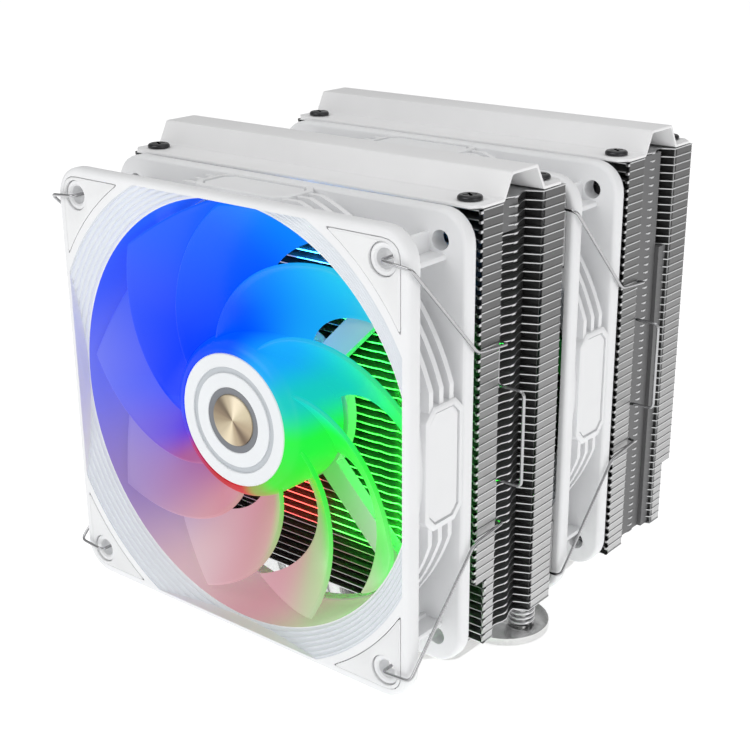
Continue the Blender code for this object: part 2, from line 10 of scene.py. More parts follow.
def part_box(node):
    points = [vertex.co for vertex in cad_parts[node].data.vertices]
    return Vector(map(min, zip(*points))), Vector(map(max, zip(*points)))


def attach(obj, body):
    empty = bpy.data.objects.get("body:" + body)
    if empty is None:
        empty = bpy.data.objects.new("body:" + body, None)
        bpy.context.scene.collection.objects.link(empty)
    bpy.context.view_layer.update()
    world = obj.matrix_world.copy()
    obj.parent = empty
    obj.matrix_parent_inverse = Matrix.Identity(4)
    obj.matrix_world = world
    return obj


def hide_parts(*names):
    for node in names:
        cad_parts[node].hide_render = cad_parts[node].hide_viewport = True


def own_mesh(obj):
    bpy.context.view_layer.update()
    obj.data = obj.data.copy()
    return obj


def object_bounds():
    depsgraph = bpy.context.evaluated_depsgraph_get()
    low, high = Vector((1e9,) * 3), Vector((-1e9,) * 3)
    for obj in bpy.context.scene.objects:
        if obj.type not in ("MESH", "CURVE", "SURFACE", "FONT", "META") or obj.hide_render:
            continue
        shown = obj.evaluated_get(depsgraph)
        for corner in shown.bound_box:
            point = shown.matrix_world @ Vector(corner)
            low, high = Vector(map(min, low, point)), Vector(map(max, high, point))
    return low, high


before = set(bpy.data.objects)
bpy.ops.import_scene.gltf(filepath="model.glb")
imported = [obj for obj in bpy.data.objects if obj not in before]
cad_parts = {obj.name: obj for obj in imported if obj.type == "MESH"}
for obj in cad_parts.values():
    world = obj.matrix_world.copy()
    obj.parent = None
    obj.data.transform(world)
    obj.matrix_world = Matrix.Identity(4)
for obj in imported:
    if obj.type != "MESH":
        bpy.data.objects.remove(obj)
cad_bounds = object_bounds()

MM = 0.001
MERGE = 0.00001                  # distance within which doubled points are joined
BEND_STEPS = 5                   # pieces of curve that take the place of a corner

# Places read from the CAD frame
FAN_HEIGHT = 0.092
FAN_FRONTS = {fan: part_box(f"{fan}_pad_top_left")[0][1] for fan in ("front", "middle")}
TOWERS = {name: [Vector(corner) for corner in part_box(f"fin_stack_{name}")] for name in ("front", "rear")}


# ---------------------------------------------------------------- tools

def link(obj):
    bpy.context.scene.collection.objects.link(obj)
    return obj


def mesh_of(solid, name, smooth=35):
    """A mesh from a bmesh, smooth except at edges sharper than the given angle in degrees."""
    mesh = bpy.data.meshes.new(name)
    bmesh.ops.recalc_face_normals(solid, faces=solid.faces)
    solid.to_mesh(mesh)
    solid.free()
    if smooth:
        mesh.shade_smooth()
        mesh.set_sharp_from_angle(angle=math.radians(smooth))
    return mesh


def evaluated(item, name, smooth=35):
    """The welded result of an object's modifiers; the object goes."""
    bpy.context.view_layer.update()
    depsgraph = bpy.context.evaluated_depsgraph_get()
    source = bpy.data.meshes.new_from_object(item.evaluated_get(depsgraph))
    bpy.data.objects.remove(item)
    solid = bmesh.new()
    solid.from_mesh(source)
    bmesh.ops.remove_doubles(solid, verts=solid.verts, dist=MERGE)
    bmesh.ops.dissolve_degenerate(solid, edges=solid.edges, dist=MERGE)
    return mesh_of(solid, name, smooth)


def plate(name, loops, low, high, bevel=0.0):
    """A flat body between two heights; a loop inside another is its hole."""
    outline = bpy.data.curves.new(name, "CURVE")
    outline.dimensions = "2D"
    outline.fill_mode = "BOTH"
    outline.extrude = (high - low) / 2
    for loop in loops:
        spline = outline.splines.new("POLY")
        spline.points.add(len(loop) - 1)
        for point, (x, y) in zip(spline.points, loop):
            point.co = (x, y, 0.0, 1.0)
        spline.use_cyclic_u = True
    mesh = evaluated(link(bpy.data.objects.new(name, outline)), name)
    mesh.transform(Matrix.Translation((0.0, 0.0, (high + low) / 2)))
    return bevelled(mesh, bevel) if bevel else mesh


def bevelled(mesh, width):
    """The mesh with its sharp edges rounded."""
    item = link(bpy.data.objects.new(mesh.name, mesh))
    bevel = item.modifiers.new("bevel", "BEVEL")
    bevel.width = width
    bevel.segments = 2
    bevel.limit_method = "ANGLE"
    bevel.angle_limit = math.radians(40)
    bevel.use_clamp_overlap = True
    return evaluated(item, mesh.name)


def lathe(name, profile, steps=64):
    """A body turned about Z from (radius, height) points."""
    solid = bmesh.new()
    rings = []
    for radius, height in profile:
        if radius < MERGE:
            rings.append([solid.verts.new((0.0, 0.0, height))])
            continue
        turns = [2 * math.pi * i / steps for i in range(steps)]
        rings.append([solid.verts.new((radius * math.cos(a), radius * math.sin(a), height)) for a in turns])
    closed = profile[0][0] >= MERGE
    pairs = list(zip(rings, rings[1:])) + ([(rings[-1], rings[0])] if closed else [])
    for upper, lower in pairs:
        for i in range(steps):
            j = (i + 1) % steps
            corners = (upper[i % len(upper)], upper[j % len(upper)],
                       lower[j % len(lower)], lower[i % len(lower)])
            solid.faces.new(list(dict.fromkeys(corners)))
    return mesh_of(solid, name)


def box(name, low, high, bevel=0.0):
    """A box between two corners."""
    solid = bmesh.new()
    bmesh.ops.create_cube(solid, size=1.0)
    low, high = Vector(low), Vector(high)
    bmesh.ops.scale(solid, vec=high - low, verts=solid.verts)
    bmesh.ops.translate(solid, vec=(low + high) / 2, verts=solid.verts)
    mesh = mesh_of(solid, name)
    return bevelled(mesh, bevel) if bevel else mesh


def joined(name, meshes, smooth=35):
    """Several meshes as one, each still a separate body."""
    solid = bmesh.new()
    for mesh in meshes:
        solid.from_mesh(mesh)
    return mesh_of(solid, name, smooth)


def carved(name, body, adds=(), cuts=(), limits=(), smooth=35):
    """A body with others joined to it and cut from it, and then kept only within its limits."""
    item = link(bpy.data.objects.new(name, body))
    tools = []
    for operation, meshes in (("UNION", adds), ("DIFFERENCE", cuts), ("INTERSECT", limits)):
        for mesh in meshes:
            tool = link(bpy.data.objects.new("tool", mesh))
            tools.append(tool)
            modifier = item.modifiers.new("boolean", "BOOLEAN")
            modifier.operation = operation
            modifier.solver = "EXACT"
            modifier.object = tool
    mesh = evaluated(item, name, smooth)
    for tool in tools:
        bpy.data.objects.remove(tool)
    return mesh


def loft(name, loops):
    """A closed body through outlines with the same number of points, capped at both ends."""
    solid = bmesh.new()
    rings = [[solid.verts.new(point) for point in loop] for loop in loops]
    for lower, upper in zip(rings, rings[1:]):
        for i in range(len(lower)):
            j = (i + 1) % len(lower)
            solid.faces.new((lower[i], lower[j], upper[j], upper[i]))
    solid.faces.new(rings[0])
    solid.faces.new(rings[-1])
    return mesh_of(solid, name)


def circle(radius, steps=32, centre=(0.0, 0.0)):
    turns = [2 * math.pi * (i + 0.5) / steps for i in range(steps)]
    return [(centre[0] + radius * math.cos(a), centre[1] + radius * math.sin(a)) for a in turns]


def rectangle(x, y):
    return [(x, y), (-x, y), (-x, -y), (x, -y)]


def rounded_square(half, radius, steps=8):
    outline = []
    for start, (x, y) in zip((0, 90, 180, 270), rectangle(half - radius, half - radius)):
        for i in range(steps + 1):
            a = math.radians(start + 90 * i / steps)
            outline.append((x + radius * math.cos(a), y + radius * math.sin(a)))
    return outline


def rounded_corner(before, corner, after, reach):
    """Points along the curve that takes the place of a corner."""
    start = corner + (before - corner).normalized() * reach
    end = corner + (after - corner).normalized() * reach
    shares = [i / BEND_STEPS for i in range(BEND_STEPS + 1)]
    return [start * (1 - t) ** 2 + corner * 2 * t * (1 - t) + end * t ** 2 for t in shares]


def wire(name, corners, radius, bend, material):
    """A round wire through corner points, each bend rounded by under half of either arm."""
    corners = [Vector(corner) for corner in corners]
    path = corners[:1]
    for before, corner, after in zip(corners, corners[1:], corners[2:]):
        reach = min(bend, (before - corner).length / 2.1, (after - corner).length / 2.1)
        path += rounded_corner(before, corner, after, reach)
    return tube(name, path + corners[-1:], radius, material)


def tube(name, path, radius, material, resolution=4):
    """A round bar along a path, as a welded mesh."""
    curve = bpy.data.curves.new(name, "CURVE")
    curve.dimensions = "3D"
    curve.bevel_depth = radius
    curve.bevel_resolution = resolution
    curve.use_fill_caps = True
    spline = curve.splines.new("POLY")
    spline.points.add(len(path) - 1)
    for point, spot in zip(spline.points, path):
        point.co = (*spot, 1.0)
    mesh = evaluated(link(bpy.data.objects.new(name, curve)), name, 50)
    return piece(name, mesh, material)


def piece(name, mesh, material, matrix=None):
    """A visible object in one material."""
    obj = link(bpy.data.objects.new(name, mesh))
    mesh.materials.clear()
    mesh.materials.append(material)
    if matrix is not None:
        obj.matrix_world = matrix
    return obj


def settle(obj, body, slot, *nodes):
    """Ride a piece on its body, in place of its CAD nodes. The slot is not used."""
    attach(obj, body)
    if nodes:
        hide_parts(*nodes)


# ---------------------------------------------------------------- materials

def new_material(name, colour, roughness, metallic=0.0, **inputs):
    surface = bpy.data.materials.new(name)
    surface.use_nodes = True
    shader = surface.node_tree.nodes["Principled BSDF"]
    shader.inputs["Base Color"].default_value = (*colour, 1.0)
    shader.inputs["Roughness"].default_value = roughness
    shader.inputs["Metallic"].default_value = metallic
    for key, value in inputs.items():
        shader.inputs[key.replace("_", " ")].default_value = value
    return surface


def node(surface, kind, **values):
    made = surface.node_tree.nodes.new(kind)
    for key, value in values.items():
        if key in made.inputs:
            made.inputs[key].default_value = value
        else:
            setattr(made, key, value)
    return made


def wire_up(surface, output, target):
    surface.node_tree.links.new(output, target)


def shader_of(surface):
    return surface.node_tree.nodes["Principled BSDF"]


def object_coordinates(surface):
    return node(surface, "ShaderNodeTexCoord").outputs["Object"]


def stretched(surface, scale):
    mapping = node(surface, "ShaderNodeMapping")
    mapping.inputs["Scale"].default_value = scale
    wire_up(surface, object_coordinates(surface), mapping.inputs["Vector"])
    return mapping.outputs["Vector"]


def noise(surface, scale, stretch=(1.0, 1.0, 1.0), detail=3.0, roughness=0.55):
    made = node(surface, "ShaderNodeTexNoise", Scale=scale, Detail=detail, Roughness=roughness)
    wire_up(surface, stretched(surface, stretch), made.inputs["Vector"])
    return made.outputs["Fac"]


def ramp(surface, source, stops, interpolation="LINEAR"):
    made = node(surface, "ShaderNodeValToRGB")
    made.color_ramp.interpolation = interpolation
    elements = made.color_ramp.elements
    while len(elements) > 1:
        elements.remove(elements[-1])
    for index, (position, colour) in enumerate(stops):
        element = elements[0] if index == 0 else elements.new(position)
        element.position = position
        element.color = (*colour, 1.0)
    wire_up(surface, source, made.inputs["Fac"])
    return made.outputs["Color"]


def tint(surface, source, stops, interpolation="LINEAR"):
    """Colour a surface by a ramp."""
    wire_up(surface, ramp(surface, source, stops, interpolation), shader_of(surface).inputs["Base Color"])


def grain(surface, source, strength, distance):
    bump = node(surface, "ShaderNodeBump", Strength=strength, Distance=distance)
    wire_up(surface, source, bump.inputs["Height"])
    wire_up(surface, bump.outputs["Normal"], shader_of(surface).inputs["Normal"])


def share_between(surface, source, low, high):
    """A value as a share of the way from low to high, kept between 0 and 1."""
    made = node(surface, "ShaderNodeMapRange")
    made.inputs["From Min"].default_value = low
    made.inputs["From Max"].default_value = high
    wire_up(surface, source, made.inputs["Value"])
    return made.outputs["Result"]


def vary(surface, source, target, low, high):
    """Run one of the shader's inputs from low to high as a value goes from 0 to 1."""
    made = node(surface, "ShaderNodeMapRange")
    made.inputs["To Min"].default_value = low
    made.inputs["To Max"].default_value = high
    wire_up(surface, source, made.inputs["Value"])
    wire_up(surface, made.outputs["Result"], shader_of(surface).inputs[target])


def shade_of(colour, share):
    return tuple(channel * share for channel in colour)


def moulded(name, colour, roughness):
    """Moulded plastic or powder coat: a fine grain, and slightly uneven tone and gloss."""
    surface = new_material(name, colour, roughness)
    broad = noise(surface, 60.0, detail=2.0)
    tint(surface, broad, [(0.3, shade_of(colour, 0.965)), (0.7, colour)])
    fine = noise(surface, 2600.0, detail=2.0)
    vary(surface, fine, "Roughness", roughness - 0.05, roughness + 0.06)
    grain(surface, fine, 0.12, 0.00006)
    return surface


def rolled(name, colour, roughness, stretch, strength=0.15):
    """Bare metal with a fine grain drawn out one way."""
    surface = new_material(name, colour, roughness, 1.0)
    lines = noise(surface, 900.0, stretch, detail=4.0, roughness=0.65)
    tint(surface, lines, [(0.25, shade_of(colour, 0.86)), (0.75, colour)])
    vary(surface, lines, "Roughness", roughness - 0.07, roughness + 0.09)
    grain(surface, lines, strength, 0.00003)
    return surface


def turned(name, colour, roughness):
    """Metal turned on a lathe about local Z: fine rings, and a sheen that swings round them."""
    surface = new_material(name, colour, roughness, 1.0, Anisotropic=0.85)
    radius = node(surface, "ShaderNodeVectorMath", operation="LENGTH")
    flat = node(surface, "ShaderNodeVectorMath", operation="MULTIPLY")
    flat.inputs[1].default_value = (1.0, 1.0, 0.0)
    wire_up(surface, object_coordinates(surface), flat.inputs[0])
    wire_up(surface, flat.outputs["Vector"], radius.inputs[0])
    rings = node(surface, "ShaderNodeTexNoise", noise_dimensions="1D", Scale=9000.0, Detail=2.0)
    wire_up(surface, radius.outputs["Value"], rings.inputs["W"])
    tint(surface, rings.outputs["Fac"], [(0.3, shade_of(colour, 0.8)), (0.7, colour)])
    grain(surface, rings.outputs["Fac"], 0.25, 0.00003)
    tangent = node(surface, "ShaderNodeTangent", direction_type="RADIAL", axis="Z")
    wire_up(surface, tangent.outputs["Tangent"], shader_of(surface).inputs["Tangent"])
    return surface


def axes_of(surface):
    """The object's own X, Y and Z."""
    split = node(surface, "ShaderNodeSeparateXYZ")
    wire_up(surface, object_coordinates(surface), split.inputs["Vector"])
    return split.outputs


def turn_of(surface):
    """The angle round local Z as 0 to 1, from -X through -Y, +X and +Y."""
    axes = axes_of(surface)
    angle = node(surface, "ShaderNodeMath", operation="ARCTAN2")
    wire_up(surface, axes["Y"], angle.inputs[0])
    wire_up(surface, axes["X"], angle.inputs[1])
    return share_between(surface, angle.outputs["Value"], -math.pi, math.pi)


def at(degrees):
    """A place on the colour ring for an angle counted from +X, seen from the front."""
    return (degrees + 180.0) / 360.0


# The colour rings below are painted light: the colours the hub's lamps throw on the blades and hub, laid
# round the fan by angle.
BLADE_RING = [
    (at(-180), (0.18, 0.215, 0.90)),
    (at(-146), (0.36, 0.26, 0.56)),
    (at(-114), (0.70, 0.50, 0.54)),
    (at(-91), (0.66, 0.36, 0.41)),
    (at(-62), (0.48, 0.60, 0.36)),
    (at(-32), (0.20, 0.88, 0.20)),
    (at(0), (0.06, 0.95, 0.07)),
    (at(24), (0.03, 0.75, 0.19)),
    (at(50), (0.02, 0.55, 0.80)),
    (at(78), (0.005, 0.25, 0.98)),
    (at(103), (0.01, 0.14, 1.0)),
    (at(123), (0.02, 0.13, 0.99)),
    (at(148), (0.05, 0.12, 0.95)),
    (at(180), (0.18, 0.215, 0.90)),
]

HUB_RING = [
    (at(-180), (0.01, 0.06, 0.98)),
    (at(-160), (0.06, 0.02, 0.70)),
    (at(-140), (0.45, 0.01, 0.12)),
    (at(-110), (0.50, 0.0, 0.01)),
    (at(-85), (0.60, 0.02, 0.03)),
    (at(-68), (0.30, 0.40, 0.08)),
    (at(-45), (0.06, 0.80, 0.04)),
    (at(-5), (0.02, 0.90, 0.06)),
    (at(25), (0.01, 0.60, 0.55)),
    (at(55), (0.01, 0.40, 0.95)),
    (at(95), (0.0, 0.09, 1.0)),
    (at(150), (0.0, 0.05, 1.0)),
    (at(180), (0.005, 0.05, 0.98)),
]

ROOT_RING = HUB_RING[:1] + [
    (at(-160), (0.10, 0.05, 0.75)),
    (at(-140), (0.42, 0.12, 0.32)),
    (at(-110), (0.62, 0.27, 0.32)),
    (at(-85), (0.55, 0.32, 0.28)),
    (at(-68), (0.35, 0.52, 0.20)),
] + HUB_RING[6:]


def radius_from(surface, low, high):
    """Distance from the object's Z axis, as a share of the way between two radii."""
    length = node(surface, "ShaderNodeVectorMath", operation="LENGTH")
    wire_up(surface, stretched(surface, (1.0, 1.0, 0.0)), length.inputs[0])
    return share_between(surface, length.outputs["Value"], low, high)


def lit_plastic(name, inner_ring, outer_ring, glow, alpha, share):
    """Frosted plastic lit from the hub: one ring of colour at the root, blending into another.

    The glow is its emission, and share is how much of the same colour it keeps when unlit.
    """
    surface = new_material(name, (0.8, 0.85, 0.9), 0.32, Emission_Strength=glow, Alpha=alpha,
                           Coat_Weight=0.04, Coat_Roughness=0.2, Specular_IOR_Level=0.15)
    turning = turn_of(surface)
    mix = node(surface, "ShaderNodeMix", data_type="RGBA")
    wire_up(surface, radius_from(surface, 0.029, 0.055), mix.inputs[0])
    wire_up(surface, ramp(surface, turning, inner_ring, "EASE"), mix.inputs[6])
    wire_up(surface, ramp(surface, turning, outer_ring, "EASE"), mix.inputs[7])
    dimmed = node(surface, "ShaderNodeHueSaturation", Value=share)
    wire_up(surface, mix.outputs[2], dimmed.inputs["Color"])
    wire_up(surface, dimmed.outputs["Color"], shader_of(surface).inputs["Base Color"])
    wire_up(surface, mix.outputs[2], shader_of(surface).inputs["Emission Color"])
    fine = noise(surface, 1500.0, detail=2.0)
    vary(surface, fine, "Roughness", 0.26, 0.38)
    grain(surface, fine, 0.05, 0.00005)
    return surface


def disc_with_painted_sheen(name, ring):
    """Turned metal with a painted highlight and painted shade: bright and dark wedges run round it."""
    surface = turned(name, (0.5, 0.4, 0.28), 0.3)
    tint(surface, turn_of(surface), ring, "EASE")
    shader_of(surface).inputs["Metallic"].default_value = 0.6
    return surface


def painted_shade_sides(name, low, high):
    """Rolled sheet seen edge on, in painted shade that lifts towards the foot of the tower: darkest at the
    top.
    """
    surface = rolled(name, (0.4, 0.4, 0.4), 0.42, (1.0, 0.05, 1.0))
    height = share_between(surface, axes_of(surface)["Z"], low, high)
    painted_shade_tones = ((0.0, 0.54), (0.35, 0.38), (0.75, 0.13), (1.0, 0.10))
    tint(surface, height, [(place, (tone, tone, tone)) for place, tone in painted_shade_tones])
    shader_of(surface).inputs["Metallic"].default_value = 0.35
    return surface


WHITE = moulded("white_plastic", (0.83, 0.835, 0.845), 0.42)
LINER = moulded("pale_liner", (0.74, 0.77, 0.81), 0.36)
PAD = moulded("pad_rubber", (0.80, 0.805, 0.81), 0.62)
PAINT = moulded("cover_paint", (0.84, 0.84, 0.845), 0.36)
CAP = moulded("cap_plastic", (0.80, 0.82, 0.84), 0.35)
CAP_GROOVE = moulded("cap_groove", (0.52, 0.55, 0.58), 0.45)
CAP_RING = moulded("cap_inner_ring", (0.17, 0.18, 0.20), 0.35)
FIN = rolled("fin_aluminium", (0.62, 0.625, 0.63), 0.32, (0.05, 1.0, 1.0))
NICKEL = rolled("nickel_plate", (0.70, 0.70, 0.695), 0.22, (1.0, 0.08, 1.0), 0.08)
BRIGHT = rolled("bright_wire", (0.46, 0.46, 0.47), 0.14, (1.0, 1.0, 0.1), 0.05)
BLACK = rolled("black_zinc", (0.06, 0.06, 0.063), 0.30, (1.0, 1.0, 1.0), 0.10)
BRONZE = rolled("sintered_bronze", (0.60, 0.42, 0.22), 0.42, (1.0, 1.0, 1.0), 0.3)
DARK_STEEL = rolled("dark_laminations", (0.20, 0.20, 0.21), 0.45, (1.0, 1.0, 8.0), 0.3)
# The medallion's bright and dark wedges are a painted highlight and painted shade.
GOLD = disc_with_painted_sheen("champagne_gold", [
    (at(-180), (0.33, 0.26, 0.17)), (at(-140), (0.50, 0.42, 0.29)), (at(-105), (0.72, 0.62, 0.44)),
    (at(-75), (0.42, 0.33, 0.22)), (at(-48), (0.17, 0.12, 0.08)), (at(-15), (0.42, 0.33, 0.22)),
    (at(30), (0.60, 0.52, 0.36)), (at(75), (0.80, 0.70, 0.52)), (at(105), (0.50, 0.42, 0.29)),
    (at(135), (0.16, 0.12, 0.08)), (at(160), (0.24, 0.18, 0.12)), (at(180), (0.33, 0.26, 0.17))])
BLADE = lit_plastic("lit_blades", ROOT_RING, BLADE_RING, glow=0.88, alpha=0.97, share=0.13)
HUB = lit_plastic("lit_hub", HUB_RING, HUB_RING, glow=0.9, alpha=1.0, share=0.12)
# The middle fan's copies carry the same painted light, dimmed as painted shade.
DIM_BLADE = lit_plastic("dim_blades", ROOT_RING, BLADE_RING, glow=0.035, alpha=0.95, share=0.3)
DIM_HUB = lit_plastic("dim_hub", HUB_RING, HUB_RING, glow=0.035, alpha=1.0, share=0.3)
DUCT_GLOW = lit_plastic("lit_duct", HUB_RING, BLADE_RING, glow=0.62, alpha=1.0, share=0.4)
# Painted shade on the fins' side tabs, darker towards the top of each tower.
SHADED_FIN_SIDES = painted_shade_sides("painted_shade_sides", low=0.034, high=0.151)
# Painted shadow: a black stand-in for the shade deep inside the towers.
PAINTED_SHADOW = moulded("fin_shadow", (0.02, 0.02, 0.02), 0.6)
# The notch's folded aluminium, darkened to painted shade.
NOTCH = moulded("notch_sheet_in_painted_shade", (0.13, 0.13, 0.132), 0.5)
SPRING = rolled("spring_wire", (0.72, 0.72, 0.73), 0.18, (1.0, 1.0, 1.0), 0.05)


# ---------------------------------------------------------------- fans

# Millimetres in a fan's own axes: X to the right, Y up, Z to the front, 0 at the pads' faces
HALF = 60.0
HOLE = 52.5                      # the screw holes' distance from the middle, each way
HOLE_RADIUS = 2.5
DUCT = 57.8
FACE = -0.12                     # the front flange's face
FRONT_BACK = -4.8                # the front flange's back
REAR_FLANGE = (-26.0, -21.4)
CORE_RADIUS = 58.95              # the duct's outside
RIB_DEPTHS = (9.2, 13.2, 17.2)
RIB_RADIUS = 62.6
RIB_LIMIT = 59.35                # the ribs end a little inside the flanges
MOUTH_RADIUS = 65.4
MOUTH_HALF = (57.9, 58.3)        # the ridged mouth ends at this half width and half height
RIDGES = 6
BLADES = 9
BLADE_ROOT = 21.6
BLADE_LENGTH = 34.5
CLIP_WIRE = 0.43                 # radius
CLIP_BEND = 1.7


def scaled(points):
    """Points given in millimetres, in metres."""
    return [tuple(value * MM for value in point) for point in points]


def turned_copies(mesh):
    """Four copies of a mesh, each a quarter turn about Z on from the last."""
    copies = []
    for i in range(4):
        copy = mesh.copy()
        copy.transform(Matrix.Rotation(math.pi / 2 * i, 4, "Z"))
        copies.append(copy)
    return copies


def filleted(corners, radii):
    """A closed outline whose corners are rounded, each by its own reach."""
    corners = [Vector(corner) for corner in corners]
    outline = []
    befores, afters = corners[-1:] + corners, corners[1:] + corners[:1]
    for before, corner, after, reach in zip(befores, corners, afters, radii):
        points = rounded_corner(before, corner, after, reach) if reach else [corner]
        outline += [tuple(point) for point in points]
    return outline


def flange(name, back, face, soft):
    """A rounded square slab whose outer edges are rounded over."""
    edge = [(0.0, 1.0), (0.12, 0.55), (0.45, 0.18), (1.0, 0.0)]
    levels = [(back + soft * z, soft * inset) for z, inset in edge]
    levels += [(face - soft * z, soft * inset) for z, inset in reversed(edge)]
    loops = []
    for z, inset in levels:
        outline = rounded_square(HALF - inset, 8.5 - inset)
        loops.append(scaled([(x, y, z) for x, y in outline]))
    return loft(name, loops)


def pad_outline(margin):
    """A corner pad's outline, grown by a margin: straight along the edges, curved along the duct."""
    reach = 57.4 + margin
    radius = 67.7 - margin
    tip = math.acos(reach / radius)
    arc = [tip + (math.pi / 2 - 2 * tip) * i / 12 for i in range(13)]
    inner = [(radius * math.cos(a), radius * math.sin(a)) for a in arc]
    corners = inner + [(reach, reach)]
    radii = [1.5] + [0.0] * 11 + [1.5, 5.2 + margin]
    return filleted(corners, radii)


def plaque_outline(inset):
    """The long octagon on each side of the frame: depth behind the pads' faces, and height."""
    low, high, half, cut = 6.7 + inset, 21.6 - inset, 16.0 - inset, 3.0 - 0.4 * inset
    corner = [(low, half - cut), (low + cut, half), (high - cut, half), (high, half - cut)]
    return corner + [(u, -v) for u, v in reversed(corner)]


def side_plate(name, loops, low, high, bevel=0.0):
    """A flat body on the frame's +X side, from (depth, height) outlines."""
    mesh = plate(name, [scaled(loop) for loop in loops], low * MM, high * MM, bevel)
    mesh.transform(Matrix.Rotation(math.pi / 2, 4, "Y"))
    return mesh


def ripples():
    """The mouth's profile from the face down to the duct: six rounded ridges."""
    lip = FACE - 0.25
    fall = 3.9
    steps = 12 * RIDGES
    profile = [(0.0, 2.0), (MOUTH_RADIUS, 2.0), (MOUTH_RADIUS, lip)]
    for i in range(1, steps + 1):
        share = i / steps
        wave = 0.42 * (1 - abs(math.cos(RIDGES * math.pi * share)))
        profile.append((MOUTH_RADIUS - 7.3 * share, lip - fall * share + wave))
    return profile + [(0.0, lip - fall)]


def fan_frame_mesh():
    """The whole moulded frame."""
    front = flange("frame", FRONT_BACK, FACE, 1.15)
    rear = flange("rear_flange", *REAR_FLANGE, 1.1)
    core = plate("core", [circle(CORE_RADIUS * MM, 128)], -22.0 * MM, -4.0 * MM)
    square = box("rib_limit", *scaled([(-RIB_LIMIT, -RIB_LIMIT, -30), (RIB_LIMIT, RIB_LIMIT, 5)]))
    ribs = []
    for depth in RIB_DEPTHS:
        ring = plate("rib", [circle(RIB_RADIUS * MM, 128)], (-depth - 0.8) * MM, (-depth + 0.8) * MM)
        ribs.append(carved("rib", ring, limits=[square.copy()]))
    plaque = side_plate("plaque", [plaque_outline(0.0)], 52.0, 59.85, 0.35 * MM)
    web = box("web", *scaled([(47.0, 47.9, -22.0), (54.2, 49.4, -4.2)]), 0.5 * MM)
    mirror_web = box("web", *scaled([(47.9, 47.0, -22.0), (49.4, 54.2, -4.2)]), 0.5 * MM)
    adds = [rear, core] + ribs + turned_copies(plaque) + turned_copies(web) + turned_copies(mirror_web)

    bore = plate("bore", [circle(DUCT * MM, 128)], -22.6 * MM, 3 * MM)
    half_width, half_height = MOUTH_HALF
    limits = scaled([(-half_width, -half_height, -9), (half_width, half_height, 9)])
    mouth_limit = box("limit", *limits)
    mouth = carved("mouth", lathe("mouth", scaled(ripples()), 144), limits=[mouth_limit])
    panel = side_plate("panel", [plaque_outline(1.5)], 59.5, 62.0)
    groove = side_plate("groove", [plaque_outline(1.5), plaque_outline(2.0)], 58.95, 62.0)
    pocket = plate("pocket", [scaled(pad_outline(0.2))], -1.1 * MM, 2 * MM)
    hole = plate("hole", [circle(HOLE_RADIUS * MM, 24, (HOLE * MM, HOLE * MM))], -30 * MM, 3 * MM)
    key = plate("key", [circle(2.0 * MM, 20, ((HOLE - 1.6) * MM, (2.2 - HOLE) * MM))], -30 * MM, -15 * MM)
    vents = []
    for start in (45, 135, 225, 315):
        outer = [(57.3, start + 3.4 + 83.2 * i / 24) for i in range(25)]
        inner = [(22.6, start + 8.5 + 73.0 * i / 10) for i in range(11)]
        ring = []
        for radius, degrees in outer + inner[::-1]:
            a = math.radians(degrees)
            ring.append((radius * math.cos(a), radius * math.sin(a)))
        vents.append(scaled(ring))
    vent = plate("vents", vents, -30 * MM, -22.2 * MM)
    cuts = [bore, mouth] + turned_copies(panel) + turned_copies(groove) + turned_copies(pocket)
    cuts += turned_copies(hole) + [key, vent]
    body = carved("fan_frame", front, adds, cuts, smooth=32)
    ring = lathe("ring", scaled([(HOLE_RADIUS, -0.95), (3.0, -0.55), (3.75, -0.5), (3.95, -0.75),
                                 (3.95, -1.4), (HOLE_RADIUS, -1.4)]), 40)
    ring.transform(Matrix.Translation((HOLE * MM, HOLE * MM, 0.0)))
    tube_profile = scaled([(3.3, -9.0), (4.6, -9.0), (4.6, -23.0), (3.3, -23.0)])
    bearing_tube = lathe("bearing_tube", tube_profile, 32)
    return joined("fan_frame", [body] + turned_copies(ring) + [bearing_tube], 32)


def tint_mouth(mesh, wall):
    """Give the ridged mouth of the duct its own paler plastic, and light the duct's wall."""
    mesh.materials.append(LINER)
    mesh.materials.append(wall)
    for face in mesh.polygons:
        x, y, z = face.center
        radius = math.hypot(x, y)
        in_square = abs(x) < (MOUTH_HALF[0] - 0.05) * MM and abs(y) < (MOUTH_HALF[1] - 0.05) * MM
        if in_square and 57.95 * MM < radius < 65.5 * MM and -4.6 * MM < z < -0.2 * MM:
            face.material_index = 1
        if 57.5 * MM < radius < 57.9 * MM and -22.0 * MM < z < -6.0 * MM:
            face.material_index = 2


def blades_mesh():
    """The swept blades, each a thin twisted sheet with rounded edges."""
    sheet = bmesh.new()
    steps_out, steps_round = 22, 12
    for blade in range(BLADES):
        rows = []
        for i in range(steps_out + 1):
            radius = BLADE_ROOT + BLADE_LENGTH * i / steps_out
            outward = radius - 23.0
            front = 28.0 - 1.62 * outward
            back = front - math.degrees((20.5 + 0.012 * outward ** 2) / radius)
            row = []
            for j in range(steps_round + 1):
                share = j / steps_round
                angle = math.radians(front + (back - front) * share + 360 / BLADES * blade)
                depth = -5.5 - 15.3 * (share + 0.12 * share * (1 - share))
                point = (radius * math.cos(angle), radius * math.sin(angle), depth)
                row.append(sheet.verts.new(scaled([point])[0]))
            rows.append(row)
        for lower, upper in zip(rows, rows[1:]):
            for j in range(steps_round):
                sheet.faces.new((lower[j], lower[j + 1], upper[j + 1], upper[j]))
    item = link(bpy.data.objects.new("blades", mesh_of(sheet, "blades")))
    solidify = item.modifiers.new("thickness", "SOLIDIFY")
    solidify.thickness = 1.1 * MM
    solidify.offset = 0.0
    bevel = item.modifiers.new("edges", "BEVEL")
    bevel.width = 0.35 * MM
    bevel.segments = 2
    bevel.limit_method = "ANGLE"
    bevel.angle_limit = math.radians(50)
    return evaluated(item, "blades", 60)


